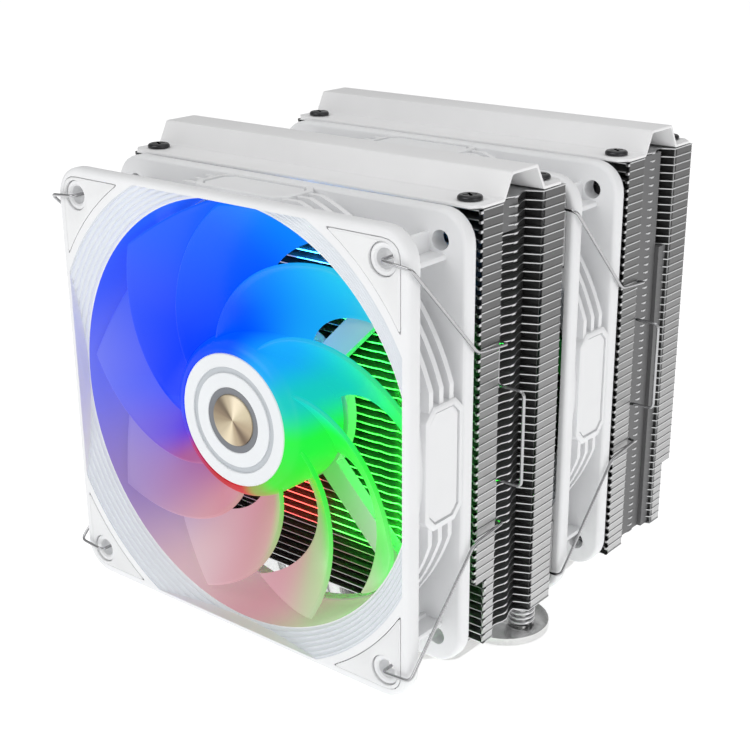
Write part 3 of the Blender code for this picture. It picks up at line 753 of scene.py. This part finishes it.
def hub_mesh():
    """The hub: a domed cup, recessed in front for its cap and open behind for the motor."""
    dome = []
    for i in range(13):
        t = math.pi / 2 * i / 12
        dome.append((18.5 + 3.8 * math.sin(t), -3.05 - 6.45 * (1 - math.cos(t))))
    profile = [(0.0, -4.5), (18.2, -4.5), (18.2, -3.2), (18.3, -3.0)] + dome
    profile += [(22.3, -21.1), (22.0, -21.5), (20.1, -21.5), (20.0, -21.3), (20.0, -7.0), (0.0, -7.0)]
    return lathe("hub", scaled(profile), 96)


def cap_parts():
    """The cap's rings, from the outside in: name, profile and material."""
    return [
        ("hub_cap", [(14.4, -3.15), (14.55, -2.98), (17.8, -2.98), (18.05, -3.2),
                     (18.05, -4.3), (14.4, -4.3)], CAP),
        ("hub_groove", [(12.8, -3.45), (14.45, -3.45), (14.45, -4.3), (12.8, -4.3)], CAP_GROOVE),
        ("hub_inner_cap", [(8.9, -3.15), (9.05, -2.98), (12.7, -2.98), (12.85, -3.15),
                           (12.85, -4.3), (8.9, -4.3)], CAP),
        ("hub_dark_ring", [(7.0, -3.3), (8.8, -3.1), (8.95, -3.3), (8.95, -4.3), (7.0, -4.3)], CAP_RING),
        ("hub_medallion", [(0.0, -2.95), (3.0, -2.92), (6.5, -2.85), (6.9, -2.95),
                           (7.05, -3.2), (7.05, -4.3), (0.0, -4.3)], GOLD),
    ]


def make_fans():
    """Both fans share their meshes; each stands on its own front plane."""
    frame_mesh = fan_frame_mesh()
    pad_loops = [scaled(pad_outline(0.0)), circle(4.15 * MM, 32, (HOLE * MM, HOLE * MM))]
    pads = turned_copies(plate("pad", pad_loops, -0.95 * MM, 0.0, 0.18 * MM))
    blades = blades_mesh()
    hub = hub_mesh()
    caps = [(name, lathe(name, scaled(profile), 96), material) for name, profile, material in cap_parts()]
    for fan, front in FAN_FRONTS.items():
        stand = Matrix.Translation((0.0, front, FAN_HEIGHT)) @ Matrix.Rotation(math.pi / 2, 4, "X")
        body, rotor = f"{fan}_fan", f"{fan}_rotor"
        shell = piece(f"{fan}_frame_shell", frame_mesh.copy(), WHITE, stand)
        tint_mouth(shell.data, DUCT_GLOW if fan == "front" else LINER)
        settle(shell, body, "frame_plastic", f"{fan}_fan_frame")
        for mesh, corner in zip(pads, ("top_right", "top_left", "bottom_left", "bottom_right")):
            pad = piece(f"{fan}_corner_{corner}", mesh, PAD, stand)
            settle(pad, body, "pad_rubber", f"{fan}_pad_{corner}")
        hub_look, blade_look = (HUB, BLADE) if fan == "front" else (DIM_HUB, DIM_BLADE)
        settle(piece(f"{fan}_hub", hub.copy(), hub_look, stand), rotor, "blade_plastic", f"{fan}_impeller")
        settle(piece(f"{fan}_blades", blades.copy(), blade_look, stand), rotor, "blade_plastic")
        for name, mesh, material in caps:
            replaced = [f"{fan}_{name}"] if name in ("hub_cap", "hub_medallion") else []
            slot = "medallion_gold" if material is GOLD else "cap_plastic"
            settle(piece(f"{fan}_{name}_ring", mesh, material, stand), rotor, slot, *replaced)
        make_clips(fan, front)
        for name, material in (("bearing_sleeve", BRONZE), ("stator_core", DARK_STEEL),
                               ("magnet_ring", DARK_STEEL), ("shaft", BRIGHT)):
            dress(f"{fan}_{name}", material)


def dress(name, material):
    """A better material on a CAD node whose shape is kept."""
    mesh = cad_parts[name].data
    mesh.materials.clear()
    mesh.materials.append(material)


def make_clips(fan, front):
    """Spring-wire clips: hooks in the front holes, arms to the notch, and the handle."""
    for side, sign in (("left", -1), ("right", 1)):
        upper = [(52.5, 52.5, 4.0), (52.5, 52.5, -1.0), (61.3, 51.8, -1.0), (60.9, 25.4, 25.5),
                 (60.9, 24.2, 38.4), (58.05, 23.9, 38.4), (58.05, 12.8, 38.4), (66.0, 12.8, 38.4)]
        lower = [(x, -y, z) for x, y, z in reversed(upper)]
        path = [(x * sign * MM, front + z * MM, FAN_HEIGHT + y * MM) for x, y, z in upper + lower]
        name = f"{fan}_clip_{side}"
        clip = wire(f"{name}_wire", path, CLIP_WIRE * MM, CLIP_BEND * MM, BRIGHT)
        settle(clip, name, "clip_steel", name)


# ---------------------------------------------------------------- towers

# Millimetres about each tower's middle, heights from its foot
FINS = 52
FIN_SHEET = 0.28
FIN_EDGE = 59.5                  # half a fin's width
FIN_HALF_DEPTH = 18.5
NOTCH_START = -9.3
TAB_SHEET = 0.3
TAB_FACE = 59.3                  # the tabs' outer faces, just behind the fins' edges
STEP_HEIGHT = 54.5               # below this, from the contact face, the outer edge is set back
STEP = 4.7


def fin_outline(front_inset, back_inset):
    """A fin from above, in millimetres about its tower's middle."""
    near, far = -FIN_HALF_DEPTH + front_inset, FIN_HALF_DEPTH - back_inset
    side = [(FIN_EDGE, near), (FIN_EDGE, NOTCH_START), (57.9, NOTCH_START), (57.6, -9.0)]
    for i in range(7):
        t = i / 6
        side.append((57.6 - 1.5 * math.sin(math.pi * 0.5 * t) + 0.9 * t ** 4, -9.0 + 7.0 * t))
    side += [(57.2, -1.4), (57.2, 0.9)]
    for i in range(1, 7):
        t = i / 6
        side.append((57.2 - 1.6 * math.sin(math.pi * 0.5 * t), 0.9 + 5.3 * t))
    side += [(58.2, 7.4), (FIN_EDGE, 8.0), (FIN_EDGE, far)]
    edge = []
    for i in range(61):
        x = 54.0 - 108.0 * i / 60
        swell = max(0.0, 1.0 - ((abs(x) - 39.0) / 13.0) ** 2)
        edge.append((x, far - 0.9 * swell * (0.5 + 0.5 * math.sin(abs(x) * 1.15)) - 0.25 * swell))
    left = [(-x, y) for x, y in reversed(side)]
    front = [(-x, near + (far - y)) for x, y in edge]
    return side + edge + left + front


def side_box(name, side, low, high):
    """A box given for the +X side in millimetres, there or mirrored to the -X side."""
    near, far = sorted((low[0] * side, high[0] * side))
    return box(name, *scaled([(near, *low[1:]), (far, *high[1:])]))


def fin_mesh(front_inset, back_inset, pitch):
    """One fin with its folded side tabs, its top face at height 0."""
    sheet = plate("fin", [scaled(fin_outline(front_inset, back_inset))], -FIN_SHEET * MM, 0.0)
    near, far = -FIN_HALF_DEPTH + front_inset, FIN_HALF_DEPTH - back_inset
    first = near + (0.0 if front_inset else 1.3)
    tabs, folds = [], []
    for side in (-1, 1):
        for start, end in ((first, NOTCH_START), (9.4, far)):
            low, high = (TAB_FACE - TAB_SHEET, start, -pitch + 0.08), (TAB_FACE, end, -FIN_SHEET)
            tabs.append(side_box("tab", side, low, high))
        folds.append(side_box("fold", side, (57.0, -1.0, -0.5), (57.25, 0.5, 0.0)))
        folds.append(side_box("fold", side, (58.8, near, -0.95), (FIN_EDGE, near + 1.0, 0.0)))
    return joined("fin", [sheet] + folds + tabs, 0)


def notch_boxes(name, height, pitch):
    """What closes a tower inside: dark walls of painted shadow behind its open gaps, and grey sheet
    darkened to painted shade where they are shut.
    """
    low, high = 0.4, height - FIN_SHEET - 0.2
    walls = [((53.8, -9.0, low), (54.6, 7.6, high)), ((54.0, 8.3, low), (59.0, 8.7, high)),
             ((54.0, -8.95, low), (57.1, -8.65, high)), ((0.0, -0.2, low), (53.6, 0.2, high))]
    if name == "front":
        return walls, [((56.1, -8.8, height - 3.7 * pitch), (56.7, 1.0, high))]
    shut = height - 12.2 * pitch
    sheets = [((56.3, -9.2, low), (57.4, -5.5, high)), ((56.3, -5.4, low), (57.1, 4.2, high)),
              ((55.5, 4.3, low), (58.3, 8.2, shut))]
    return walls, sheets


def make_towers():
    for name, (low, high) in TOWERS.items():
        insets = {"front": (STEP, 0.0), "rear": (0.0, STEP)}[name]
        middle = (low.y + high.y) / 2
        height = (high.z - low.z) / MM
        pitch = (height - FIN_SHEET) / (FINS - 1)
        full, stepped = fin_mesh(0.0, 0.0, pitch), fin_mesh(*insets, pitch)
        stack = bmesh.new()
        for level in range(FINS):
            top = FIN_SHEET + pitch * level
            copy = (stepped if low.z / MM + top < STEP_HEIGHT else full).copy()
            copy.transform(Matrix.Translation((0.0, middle, low.z + top * MM)))
            if level == 0:
                copy = bottom_fin(copy)
            stack.from_mesh(copy)
        mesh = bpy.data.meshes.new("fins")
        stack.to_mesh(mesh)
        stack.free()
        fins = piece(f"fins_{name}", mesh, FIN)
        # The side tabs take the painted shade.
        mesh.materials.append(SHADED_FIN_SIDES)
        for face in mesh.polygons:
            out = abs(face.center.x) / MM
            face.material_index = int(TAB_FACE - TAB_SHEET < out < TAB_FACE + 0.05)
        settle(fins, "cooler", "fin_aluminium", f"fin_stack_{name}")
        # Black walls of painted shadow behind the open gaps, and sheets in painted shade where they are
        # shut.
        walls, sheets = notch_boxes(name, height, pitch)
        for part, boxes, material in (("notch_painted_shadow", walls, PAINTED_SHADOW), ("notch_sheet_in_painted_shade", sheets, NOTCH)):
            halves = [side_box(part, side, *corners) for side in (-1, 1) for corners in boxes]
            filling = joined(part, halves)
            filling.transform(Matrix.Translation((0.0, middle, low.z)))
            settle(piece(f"{part}_{name}", filling, material), "cooler", "fin_aluminium")
        make_cover(name, middle)


def bottom_fin(mesh):
    """The lowest fin has nothing under it, so its tabs end at its own underside."""
    top = max(vertex.co.z for vertex in mesh.vertices)
    for vertex in mesh.vertices:
        if vertex.co.z < top - FIN_SHEET * MM * 1.5:
            vertex.co.z = top - FIN_SHEET * MM
    return mesh


def offset_strip(points, thickness):
    """The corners of a bent strip: its points, and the same moved to one side and mitred."""
    inner = [Vector(point) for point in points]
    normals = []
    for before, after in zip(inner, inner[1:]):
        along = (after - before).normalized()
        normals.append(Vector((-along.y, along.x)))
    outer = []
    for point, before, after in zip(inner, normals[:1] + normals, normals + normals[-1:]):
        outer.append(point + (before + after) * thickness / (1.0 + before.dot(after)))
    return inner + outer[::-1]


COVER_SHEET = 0.8
COVER_RISE = 6.0
COVER_ENDS = (-20.0, 18.7)       # the cover's front and back edges, about its tower's middle
COVER_BEND = 0.5
COVER_SCREW = (53.6, 14.8)


def make_cover(name, centre):
    """The hat channel, its bends rounded, its flange corners clipped, and its four screws."""
    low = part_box(f"cover_{name}")[0][2] / MM
    front, back = COVER_ENDS
    top = low + COVER_RISE
    bends = [(front, low), (-8.8, low), (-5.6, top), (4.7, top), (8.2, low), (back, low)]
    rounding = [0.0] + [COVER_BEND] * (len(bends) - 2) + [0.0]
    outline = filleted(offset_strip(bends, COVER_SHEET), rounding * 2)
    loops = [scaled([(x, y + centre / MM, z) for y, z in outline]) for x in (-FIN_EDGE, FIN_EDGE)]
    sheet = loft("cover", loops)
    clip = box("clip", *scaled([(-2.4, -2.4, -10.0), (2.4, 2.4, 10.0)]))
    cuts = []
    for x in (-FIN_EDGE - 0.4, FIN_EDGE + 0.4):
        for y in (front - 0.4, back + 0.4):
            cutter = clip.copy()
            spot = Vector((x * MM, centre + y * MM, low * MM))
            cutter.transform(Matrix.Translation(spot) @ Matrix.Rotation(math.pi / 4, 4, "Z"))
            cuts.append(cutter)
    mesh = bevelled(carved("cover", sheet, cuts=cuts), 0.12 * MM)
    settle(piece(f"cover_sheet_{name}", mesh, PAINT), "cooler", "cover_paint", f"cover_{name}")
    head = pan_head(3.1, 1.05, 1.4, 2.6)
    across, along = COVER_SCREW
    for edge, y in (("front", -along), ("back", along)):
        for side, x in (("left", -across), ("right", across)):
            node_name = f"cover_screw_{name}_{edge}_{side}"
            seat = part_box(node_name)[1][2] - 1.2 * MM
            turn = Matrix.Rotation(0.35 * x + y, 4, "Z")
            place = Matrix.Translation((x * MM, centre + y * MM, seat)) @ turn
            screw = piece(f"{node_name}_head", head, BLACK, place)
            settle(screw, "cooler", "screw_black", node_name)


def pan_head(radius, height, shank, length):
    """A pan-head screw with a cross recess, its seat at height 0."""
    profile = [(0.0, height)]
    for i in range(7):
        t = math.pi / 2 * i / 6
        profile.append((radius - 0.8 + 0.8 * math.sin(t), height * (0.3 + 0.7 * math.cos(t))))
    profile += [(radius, 0.0), (shank, 0.0), (shank, -length + 0.4), (shank - 0.4, -length), (0.0, -length)]
    body = lathe("screw", scaled(profile), 40)
    return carved("screw", body, cuts=cross(1.8, 0.4, 0.1, 3.0))


def cross(reach, half_width, low, high):
    """The two bars that cut a cross recess."""
    spans = ((reach, half_width), (half_width, reach))
    return [box("arm", *scaled([(-x, -y, low), (x, y, high)])) for x, y in spans]


# ---------------------------------------------------------------- heat pipes and base

PIPES = 6
PIPE_MIDDLE = (PIPES + 1) / 2    # the number half way between the third and fourth pipes
PIPE_PITCH = 7.0                 # through the base
PIPE_AXIS = 4.5                  # the pipes' height in the base
BASE_HALF = (27.0, 17.0)
BAR_TOP = 12.3                   # just above the mounting bar
SPRING_SCREW_X = 40.6


def pipe_path(number, tower):
    """One pipe from the middle of the base out and up through a tower."""
    rank = abs(number - PIPE_MIDDLE) - 0.5
    side = -1 if number < PIPE_MIDDLE else 1
    stagger = 4.5 if round(rank) % 2 == 0 else -4.5
    forward = -1 if tower == "front" else 1
    start = Vector(((number - PIPE_MIDDLE) * PIPE_PITCH, 17.2 * forward, PIPE_AXIS))
    end = Vector((side * (8.5 + 17.0 * rank), (34.2 - stagger) * forward, 33.3))
    first = start + Vector((0.0, (0.62 * abs(end.y - start.y) + 3.0) * forward, 0.0))
    second = end - Vector((0.0, 0.0, 16.0))
    path = []
    for i in range(37):
        t = i / 36
        ends = start * (1 - t) ** 3 + end * t ** 3
        path.append(ends + first * 3 * t * (1 - t) ** 2 + second * 3 * t * t * (1 - t))
    return path + [Vector((end.x, end.y, 150.3))]


def make_pipes():
    for number in range(1, PIPES + 1):
        path = list(reversed(pipe_path(number, "front"))) + pipe_path(number, "rear")
        name = f"heatpipe_{number}"
        settle(tube(f"{name}_tube", scaled(path), 3.0 * MM, NICKEL, 8), "cooler", "pipe_nickel", name)


def capsule(half_length, half_width, steps=20):
    """A bar with round ends, along X."""
    reach = half_length - half_width
    outline = []
    for side, start in ((1, -90), (-1, 90)):
        for i in range(steps + 1):
            a = math.radians(start + 180 * i / steps)
            outline.append((side * reach + half_width * math.cos(a), half_width * math.sin(a)))
    return outline


def make_base():
    grooves = []
    for number in range(1, PIPES + 1):
        groove = plate("groove", [circle(3.3 * MM, 32)], -20 * MM, 20 * MM)
        place = Matrix.Translation(scaled([((number - PIPE_MIDDLE) * PIPE_PITCH, 0.0, PIPE_AXIS)])[0])
        groove.transform(place @ Matrix.Rotation(math.pi / 2, 4, "X"))
        grooves.append(groove)
    for name, corner, low, high in (("cold_plate", 7.0, 0.0, 4.35), ("pipe_clamp", 4.0, 4.65, 9.2)):
        outline = filleted(rectangle(*BASE_HALF), [corner] * 4)
        block = plate(name, [scaled(outline)], low * MM, high * MM, 0.5 * MM)
        cut = carved(name, block, cuts=[groove.copy() for groove in grooves])
        settle(piece(f"{name}_block", cut, NICKEL), "cooler", "nickel", name)
    holes = [circle(2.5 * MM, 32, (x * MM, 0.0)) for x in (-SPRING_SCREW_X, SPRING_SCREW_X)]
    bar = plate("bar", [scaled(capsule(48.0, 13.5))] + holes, 9.5 * MM, 12.0 * MM, 0.4 * MM)
    settle(piece("mounting_bar", bar, NICKEL), "cooler", "nickel", "mounting_bracket")
    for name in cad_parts:
        if name.startswith("bracket_screw"):
            low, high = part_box(name)
            head = pan_head(2.5, 1.25, 1.3, 12.0 - low[2] / MM)
            spot = ((low[0] + high[0]) / 2, (low[1] + high[1]) / 2, BAR_TOP * MM)
            turn = Matrix.Rotation(low[0] * 90.0, 4, "Z")
            screw = piece(f"{name}_head", head, BLACK, Matrix.Translation(spot) @ turn)
            settle(screw, "cooler", "screw_black", name)


def coil_path():
    """A coil spring's centre line in millimetres: five turns, close together at both ends."""
    path = []
    for i in range(241):
        t = i / 240
        middle = min(max((t - 0.12) / 0.76, 0.0), 1.0)
        turn = 2 * math.pi * 5.0 * t
        height = BAR_TOP + 0.6 + 6.5 * (0.7 * middle + 0.3 * t)
        path.append((3.5 * math.cos(turn), 3.5 * math.sin(turn), height))
    return path


def make_spring_screws():
    for side, sign in (("left", -1), ("right", 1)):
        x = SPRING_SCREW_X * sign * MM
        path = [(across + x, along, height) for across, along, height in scaled(coil_path())]
        spring = tube(f"coil_{side}", path, 0.55 * MM, SPRING, 3)
        settle(spring, "cooler", "spring_steel", f"spring_{side}")
        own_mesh(spring)
        washer = lathe("washer", scaled([(2.4, 20.4), (2.5, 20.3), (4.3, 20.3), (4.4, 20.4), (4.4, 21.0),
                                         (4.3, 21.1), (2.5, 21.1), (2.4, 21.0)]), 48)
        place = Matrix.Translation((x, 0.0, 0.0))
        settle(piece(f"washer_ring_{side}", washer, SPRING, place), f"washer_{side}", "spring_steel",
               f"spring_washer_{side}")
        low, high = (corner[2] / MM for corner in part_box(f"spring_screw_{side}"))
        profile = [(0.0, high), (3.2, high), (3.6, high - 0.25), (3.7, high - 0.6), (3.7, 24.4),
                   (3.5, 24.2), (3.1, 24.2), (3.1, 23.7), (4.1, 23.7), (4.3, 23.5), (4.3, 21.6),
                   (4.1, 21.4), (2.1, 21.4), (2.1, low + 0.7), (1.6, low), (0.0, low)]
        body = carved("spring_screw", lathe("spring_screw", scaled(profile), 48),
                      cuts=cross(2.1, 0.42, high - 1.6, high + 2))
        screw = piece(f"spring_screw_{side}_turned", body, NICKEL, place)
        settle(screw, f"screw_{side}", "nickel", f"spring_screw_{side}")


# ---------------------------------------------------------------- light and view

def area_light(name, spot, target, size, power, colour=(1.0, 1.0, 1.0)):
    data = bpy.data.lights.new(name, "AREA")
    data.shape = "RECTANGLE"
    data.size, data.size_y = size
    data.energy = power
    data.color = colour
    lamp = link(bpy.data.objects.new(name, data))
    lamp.location = spot
    lamp.rotation_euler = (Vector(target) - Vector(spot)).to_track_quat("-Z", "Y").to_euler()
    return lamp


MIDDLE = (0.0, 0.0, 0.08)
GLOW_DEPTH = -0.0545             # between the front fan and the first tower
GLOWS = (
    ("green_glow", 0.033, 0.089, (0.034, 0.066), 0.10, (0.03, 1.0, 0.04)),
    ("red_glow", -0.004, 0.064, (0.02, 0.02), 0.010, (1.0, 0.05, 0.03)),
    ("low_green_glow", 0.024, 0.056, (0.026, 0.018), 0.020, (0.03, 1.0, 0.04)),
    ("cyan_glow", 0.022, 0.139, (0.044, 0.018), 0.07, (0.02, 0.35, 1.0)),
    ("blue_glow", -0.034, 0.100, (0.03, 0.05), 0.04, (0.03, 0.08, 1.0)),
)


def make_stage():
    """A plain pale floor, an even sky, soft lights, and the front fan's glow on the fins behind it."""
    bpy.ops.mesh.primitive_plane_add(size=60.0, location=(0.0, 0.0, cad_bounds[0][2]))
    floor = bpy.context.object
    floor.name = "floor"
    white = new_material("floor_white", (0.93, 0.93, 0.93), 0.75, Emission_Strength=0.62,
                         Emission_Color=(1.0, 1.0, 1.0, 1.0))
    floor.data.materials.append(white)
    world = bpy.context.scene.world or bpy.data.worlds.new("sky")
    bpy.context.scene.world = world
    world.use_nodes = True
    background = world.node_tree.nodes["Background"]
    background.inputs["Color"].default_value = (1.0, 1.0, 1.0, 1.0)
    background.inputs["Strength"].default_value = 0.42
    bpy.context.scene.view_settings.view_transform = "Standard"
    area_light("key", (-0.15, -0.75, 0.75), MIDDLE, (0.7, 0.5), 2.9)
    area_light("side", (0.85, -0.15, 0.35), MIDDLE, (0.5, 0.6), 1.0)
    for name, x, z, size, power, colour in GLOWS:
        glow = area_light(name, (x, GLOW_DEPTH, z), (x, 0.0, z), size, power, colour)
        glow.visible_camera = False
    area_light("top", (0.1, 0.2, 0.9), MIDDLE, (0.8, 0.8), 1.7)


CAMERA_ANGLES = (39.2509, 20.1166, -0.3872)     # azimuth, elevation and roll, in degrees
CAMERA_PLACE = (0.23756, -0.30991, 0.22527)
LENS = 66.10


def make_camera():
    azimuth, elevation, roll = (math.radians(angle) for angle in CAMERA_ANGLES)
    back = Vector((math.sin(azimuth) * math.cos(elevation), -math.cos(azimuth) * math.cos(elevation),
                   math.sin(elevation)))
    level = Vector((math.cos(azimuth), math.sin(azimuth), 0.0))
    upright = back.cross(level)
    right = level * math.cos(roll) + upright * math.sin(roll)
    up = upright * math.cos(roll) - level * math.sin(roll)
    data = bpy.data.cameras.new("view")
    data.sensor_width = 36.0
    data.lens = LENS
    camera = link(bpy.data.objects.new("view", data))
    turn = Matrix((right, up, back)).transposed().to_4x4()
    camera.matrix_world = Matrix.Translation(CAMERA_PLACE) @ turn
    bpy.context.scene.camera = camera


make_fans()
make_towers()
make_pipes()
make_base()
make_spring_screws()
make_stage()
make_camera()
